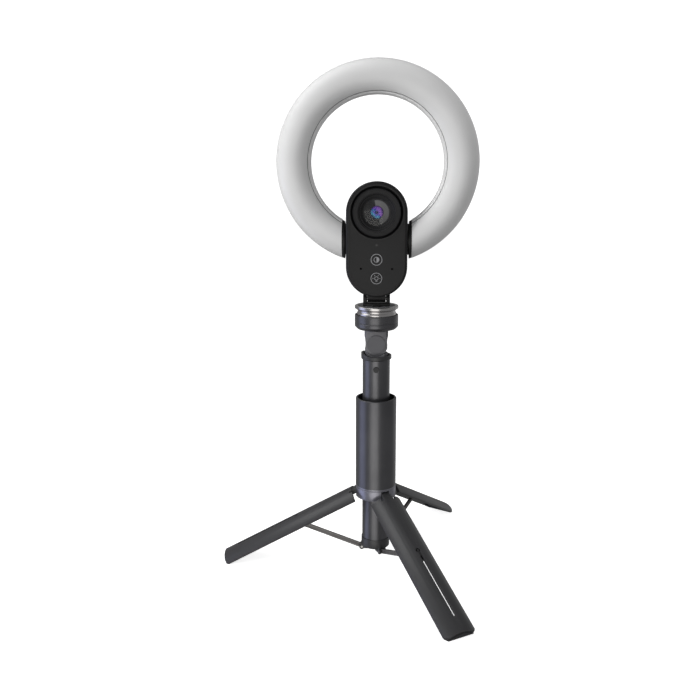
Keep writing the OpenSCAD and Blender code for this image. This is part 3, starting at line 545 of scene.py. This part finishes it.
# ring: the front shell, a fine bead at its inner edge and a grey bead of painted shade beside it are
# swept round its centre
ring = {
    "wall": 1.6,
    "steps": 220,
    "outerSteps": 56,
    "innerSteps": 40,
    "partDepth": 3.0,   # the shells meet this far behind the ring's middle plane
    "trimWidth": 2.6,
    "beadInset": 1.15,  # from the hole's edge to the middle of the bead
    "beadHalfWidth": 0.75,
    "beadHalfHeight": 0.45,
    "gapShadeInset": 2.15,
    "gapShadeRadius": 0.24,
    "beadSides": 12,
    "beadSmooth": 60,
}
ringLow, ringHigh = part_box("ring_diffuser")
ringRadius = (ringHigh.x - ringLow.x) / 2
ringZ = ringHigh.z - ringRadius
shellPoints = [v.co for v in frame["nodes"]["ring_diffuser"].data.vertices]
holeRadius = min(math.hypot(p.x - mastX, p.z - ringZ) for p in shellPoints)
ringCutX = min(abs(p.x - mastX) for p in shellPoints if p.z < ringZ)
tubeRadius = (ringRadius - holeRadius) / 2
hubRadius = (ringRadius + holeRadius) / 2
ringPlaneY = ringLow.y + tubeRadius
ringBody = bodyOf["ring_diffuser"]


def sweptRing(name, outline, *nodes, material=None, smoothAngle=32):
    # outline: closed list of (radius, y) in metres; both ends are cut upright beside the camera
    mesh = bpy.data.meshes.new(name)
    work = bmesh.new()
    rings = []
    for k in range(ring["steps"] + 1):
        points = []
        for radius, y in outline:
            firstTurn = math.asin(ringCutX / radius)
            turn = firstTurn + (2 * math.pi - 2 * firstTurn) * k / ring["steps"]
            x, z = mastX - radius * math.sin(turn), ringZ - radius * math.cos(turn)
            points.append(work.verts.new((x, y, z)))
        rings.append(points)
    for first, second in zip(rings, rings[1:]):
        for j in range(len(outline)):
            after = (j + 1) % len(outline)
            work.faces.new((first[j], second[j], second[after], first[after]))
    work.faces.new(rings[0])
    work.faces.new(list(reversed(rings[-1])))
    bmesh.ops.recalc_face_normals(work, faces=work.faces)
    work.to_mesh(mesh)
    work.free()
    return settle(name, mesh, "diffuser_white", ringBody, *nodes, smoothAngle=smoothAngle,
                  material=material)


def shellArc(radius, firstAngle, lastAngle, count):
    # angles run from the hole side through the front to the outside
    angles = [firstAngle + (lastAngle - firstAngle) * k / count for k in range(count + 1)]
    return [(hubRadius - radius * math.cos(a), ringPlaneY - radius * math.sin(a)) for a in angles]


def shellEnds(radius, holeDepth, outsideDepth):
    # the angles where a skin stops, at two depths behind the ring's middle plane
    return -math.asin(holeDepth * mm / radius), math.pi + math.asin(outsideDepth * mm / radius)


# front shell: from the hoop on the hole side, through the front, to the rear shell on the outside
innerRadius = tubeRadius - ring["wall"] * mm
holeDepth = ring["partDepth"] - ring["trimWidth"]
outerStart, outerEnd = shellEnds(tubeRadius, holeDepth, ring["partDepth"])
innerStart, innerEnd = shellEnds(innerRadius, holeDepth, ring["partDepth"])
outerSkin = shellArc(tubeRadius, outerStart, outerEnd, ring["outerSteps"])
innerSkin = shellArc(innerRadius, innerEnd, innerStart, ring["innerSteps"])
sweptRing("ring_front_shell", outerSkin + innerSkin, "ring_diffuser")
print("ring front built")


def ovalBead(inset, halfWidth, halfHeight):
    # half sunk in the front shell, square to its skin
    radius = holeRadius + inset * mm
    angle = math.acos((hubRadius - radius) / tubeRadius)
    points = []
    for j in range(ring["beadSides"]):
        around = 2 * math.pi * j / ring["beadSides"]
        along, out = halfWidth * mm * math.cos(around), halfHeight * mm * math.sin(around)
        y = ringPlaneY - (tubeRadius + out) * math.sin(angle) - along * math.cos(angle)
        points.append((radius - out * math.cos(angle) + along * math.sin(angle), y))
    return points


beadOutline = ovalBead(ring["beadInset"], ring["beadHalfWidth"], ring["beadHalfHeight"])
sweptRing("ring_bead", beadOutline, material=materials["hoop_white"], smoothAngle=ring["beadSmooth"])
# painted shade: a thin grey bead in the gap beside the hoop
gapShadeOutline = ovalBead(ring["gapShadeInset"], ring["gapShadeRadius"], ring["gapShadeRadius"])
sweptRing("ring_gap_painted_shade", gapShadeOutline, material=materials["gap_painted_shade"], smoothAngle=ring["beadSmooth"])
print("ring bead built")

# gold contacts on both sides of the socket's tongue, in mm
contacts = {
    "count": 10,
    "pitch": 0.5,
    "width": 0.25,
    "length": 3.4,
    "thick": 0.03,
    "setBack": 3.2,
    "fromMiddle": 0.365,
}
# gold plate over nickel: warm yellow and bright
goldPlate = surface("gold_plate", {
    "colour": "#d8b35c", "shade": "#c79f48", "roughness": 0.22, "metallic": 1.0, "grainMm": 0.3,
    "bump": 0.1})
socketLow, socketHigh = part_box("usb_socket")
tongueZ = (socketLow.z + socketHigh.z) / 2
contactSize = [contacts[side] * mm for side in ("width", "length", "thick")]
contactMesh = bpy.data.meshes.new("usb_contacts")
work = bmesh.new()
for side in (-1, 1):
    for k in range(contacts["count"]):
        x = mastX + (k - (contacts["count"] - 1) / 2) * contacts["pitch"] * mm
        y = socketHigh.y - contacts["setBack"] * mm
        z = tongueZ + side * contacts["fromMiddle"] * mm
        box = bmesh.ops.create_cube(work, size=1)["verts"]
        bmesh.ops.scale(work, verts=box, vec=contactSize)
        bmesh.ops.translate(work, verts=box, vec=(x, y, z))
work.to_mesh(contactMesh)
work.free()
settle("usb_contacts", contactMesh, "socket_steel", "camera", material=goldPlate)
print("socket contacts built")

# floor and backdrop
studio = {
    "reach": 6.0,
    "floorPaper": "#fbfbfb",
    "floorGlow": 0.8,
    "wallPaint": "#ffffff",
    "wallGlow": 1.0,
    "ambient": 0.28,
    "aim": (mastX, 0, 0.22),
}
reach = studio["reach"]
floorCorners = [(-reach, -reach, 0), (reach, -reach, 0), (reach, reach, 0), (-reach, reach, 0)]
floorMesh = bpy.data.meshes.new("floor")
floorMesh.from_pydata(floorCorners, [], [(0, 1, 2, 3)])
floor = bpy.data.objects.new("floor", floorMesh)
bpy.context.scene.collection.objects.link(floor)


# matt seamless paper and painted wall: plain and shadowless, with clouds 50 mm across
def paperMaterial(name, hexCode, glow):
    material, tree, inMm = startMaterial(name)
    fibre = addNode(tree, "ShaderNodeTexNoise", Vector=inMm, Scale=1 / 50, Detail=4.0)
    colour = addNode(tree, "ShaderNodeMix", fibre, linear(hexCode), linear("#ffffff"),
                     data_type="RGBA")
    shader = addNode(tree, "ShaderNodeBsdfPrincipled", Base_Color=colour, Roughness=0.9,
                     Emission_Color=(1, 1, 1, 1), Emission_Strength=glow)
    addNode(tree, "ShaderNodeOutputMaterial", Surface=shader)
    return material


floorMesh.materials.append(paperMaterial("studio_paper", studio["floorPaper"], studio["floorGlow"]))
domeMesh = bpy.data.meshes.new("backdrop")
work = bmesh.new()
bmesh.ops.create_icosphere(work, subdivisions=4, radius=reach)
work.to_mesh(domeMesh)
work.free()
domeMesh.materials.append(paperMaterial("studio_wall", studio["wallPaint"], studio["wallGlow"]))
dome = bpy.data.objects.new("backdrop", domeMesh)
bpy.context.scene.collection.objects.link(dome)
for ray in ("visible_diffuse", "visible_glossy", "visible_shadow"):
    setattr(floor, ray, False)  # the low reflections shine past the floor
    setattr(dome, ray, False)
dome.visible_transmission = False

# lights
world = bpy.data.worlds.new("studio")
world.use_nodes = True
background = world.node_tree.nodes["Background"].inputs
background["Color"].default_value = (1, 1, 1, 1)
background["Strength"].default_value = studio["ambient"]
bpy.context.scene.world = world
softboxes = {
    # name: place, size, power, colour, whether it lights dull skins, whether it shows in shiny ones
    "keyLeft": ((-1.15, -0.75, 0.62), (0.9, 0.9), 15.8, "#ffffff", True, False),
    "overhead": ((0.2, 0.1, 1.4), (0.8, 0.8), 3.6, "#ffffff", True, False),
    "topSheen": ((-0.62, 0.02, 1.15), (0.9, 0.9), 6.0, "#ffffff", False, True),
    "frontWide": ((mastX - 0.17, -1.12, -0.12), (0.88, 1.0), 4.6, "#fffdf8", False, True),
    "blueSide": ((mastX - 1.09, -0.15, -0.12), (0.75, 1.0), 3.1, "#ccd4ff", False, True),
    "backRight": ((0.85, 0.9, 0.1), (0.8, 1.0), 0.6, "#ffffff", False, True),
    "rightFill": ((1.2, -0.4, 0.6), (0.8, 0.8), 1.5, "#ffffff", True, False),
}
for name, (place, size, power, hexCode, dull, shiny) in softboxes.items():
    data = bpy.data.lights.new(name, "AREA")
    data.shape = "RECTANGLE"
    data.size, data.size_y = size
    data.energy = power
    data.color = linear(hexCode)[:3]
    lamp = bpy.data.objects.new(name, data)
    lamp.location = place
    aim = Vector(studio["aim"]) - Vector(place)
    lamp.rotation_euler = aim.to_track_quat("-Z", "Y").to_euler()
    lamp.visible_diffuse = dull
    lamp.visible_glossy = shiny
    lamp.visible_camera = False
    bpy.context.scene.collection.objects.link(lamp)
print("studio lit")
